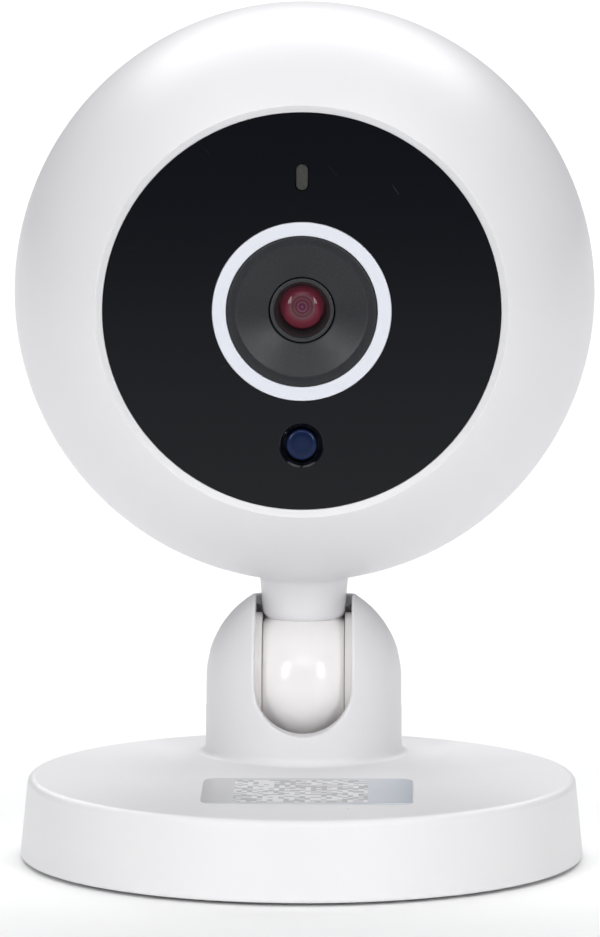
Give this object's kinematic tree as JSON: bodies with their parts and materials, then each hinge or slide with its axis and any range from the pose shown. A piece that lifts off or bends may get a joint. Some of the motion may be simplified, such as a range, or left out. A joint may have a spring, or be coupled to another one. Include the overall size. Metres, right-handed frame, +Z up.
{
  "type": "home security camera",
  "caption": "Indoor security camera: a round head with a black lens face on a neck that tilts and turns in a slotted dome on a weighted round stand.",
  "frame": {"origin": "centre of the underside of the foot pad, on the surface that the camera stands on", "axes": "+Z up, -Y the way the lens looks, +X to the right of someone who faces the lens"},
  "size_m": [0.065, 0.0801, 0.0939],
  "materials": {
    "stand_white": "satin white, fine moulded surface",
    "label_silver": "silver-grey printed film",
    "acetal": "slippery natural white",
    "spring_steel": "dark spring steel",
    "zinc_steel": "zinc plated",
    "screw_steel": "zinc plated",
    "ballast_steel": "raw blackened plate",
    "plate_white": "matt white",
    "foot_rubber": "matt soft rubber",
    "ball_gloss": "polished white",
    "shell_white": "satin white, fine moulded surface",
    "cap_white": "matt white",
    "face_black": "polished black, passes infrared",
    "ring_white": "milky translucent",
    "hood_black": "fine matt black",
    "guide_grey": "smoky translucent",
    "sensor_blue": "dark blue cast resin",
    "barrel_black": "black anodised",
    "lens_glass": "coated glass with a magenta sheen",
    "filter_glass": "coated filter glass",
    "holder_black": "matt black",
    "coil_copper": "enamelled copper wire",
    "board_green": "green solder mask",
    "board_black": "black solder mask",
    "chip_black": "moulded epoxy",
    "led_clear": "clear and cream resin",
    "heat_aluminium": "plain extruded",
    "shield_can": "tinned sheet",
    "capacitor_can": "drawn can",
    "brass_post": "turned",
    "socket_cream": "natural nylon",
    "flex_amber": "amber polyimide film",
    "panel_grey": "matt light grey",
    "socket_steel": "tinned steel shell",
    "button_grey": "matt grey",
    "speaker_frame": "black coated",
    "speaker_paper": "thin film cone",
    "foam_black": "open foam"
  },
  "bodies": {
    "stand": {"base_cover": "stand_white", "base_label": "label_silver", "pivot_screw": "screw_steel", "pivot_nut": "zinc_steel", "pivot_washers": "acetal", "pivot_caps": "cap_white", "ballast_plate": "ballast_steel", "bottom_plate": "plate_white", "bottom_screws": "screw_steel", "foot_pad": "foot_rubber"},
    "ball": {"tilt_knuckle": "ball_gloss", "stem_spring": "spring_steel", "stem_washer": "zinc_steel", "stem_screw": "screw_steel"},
    "head": {"front_shell": "shell_white", "rear_shell": "shell_white", "shell_screws": "screw_steel", "screw_caps": "cap_white", "small_screws": "screw_steel", "face_panel": "face_black", "light_ring": "ring_white", "lens_hood": "hood_black", "status_light_guide": "guide_grey", "light_sensor": "sensor_blue", "lens_barrel": "barrel_black", "front_lens": "lens_glass", "rear_lens": "lens_glass", "lens_retainer": "barrel_black", "lens_spacer": "barrel_black", "lens_holder": "holder_black", "ircut_plate": "holder_black", "ircut_coil": "coil_copper", "camera_board": "board_green", "image_sensor": "chip_black", "ir_led_board": "board_black", "ir_leds": "led_clear", "indicator_leds": "led_clear", "main_board": "board_green", "processor": "chip_black", "heat_spreader": "heat_aluminium", "wifi_module": "shield_can", "capacitors": "capacitor_can", "wifi_antenna": "shield_can", "standoffs": "brass_post", "board_screws": "screw_steel", "flex_sockets": "socket_cream", "flex_cable": "flex_amber", "port_panel": "panel_grey", "port_board": "board_green", "usb_socket": "socket_steel", "card_socket": "socket_steel", "reset_switch": "chip_black", "microphone": "shield_can", "speaker": "speaker_frame", "speaker_cone": "speaker_paper", "speaker_gasket": "foam_black", "speaker_bracket": "zinc_steel"},
    "filter_slide": {"ircut_slide": "holder_black", "ircut_filters": "filter_glass"},
    "reset": {"reset_button": "button_grey"}
  },
  "joints": [
    {"name": "head_tilt", "type": "hinge", "parent": "stand", "child": "ball", "pos_m": [0, 0.0164, 0.0176], "axis": [1, 0, 0], "range_deg": [-6, 55]},
    {"name": "head_swivel", "type": "hinge", "parent": "ball", "child": "head", "pos_m": [0, 0.0164, 0.0614], "axis": [0, 0, 1], "continuous": true},
    {"name": "filter_shift", "type": "slide", "parent": "head", "child": "filter_slide", "axis": [1, 0, 0], "range_m": [0, 0.0046]},
    {"name": "reset_press", "type": "slide", "parent": "head", "child": "reset", "axis": [0, -0.9397, 0.342], "range_m": [0, 0.0005], "stiffness_N_per_m": 400, "springref_m": -0.0005}
  ]
}
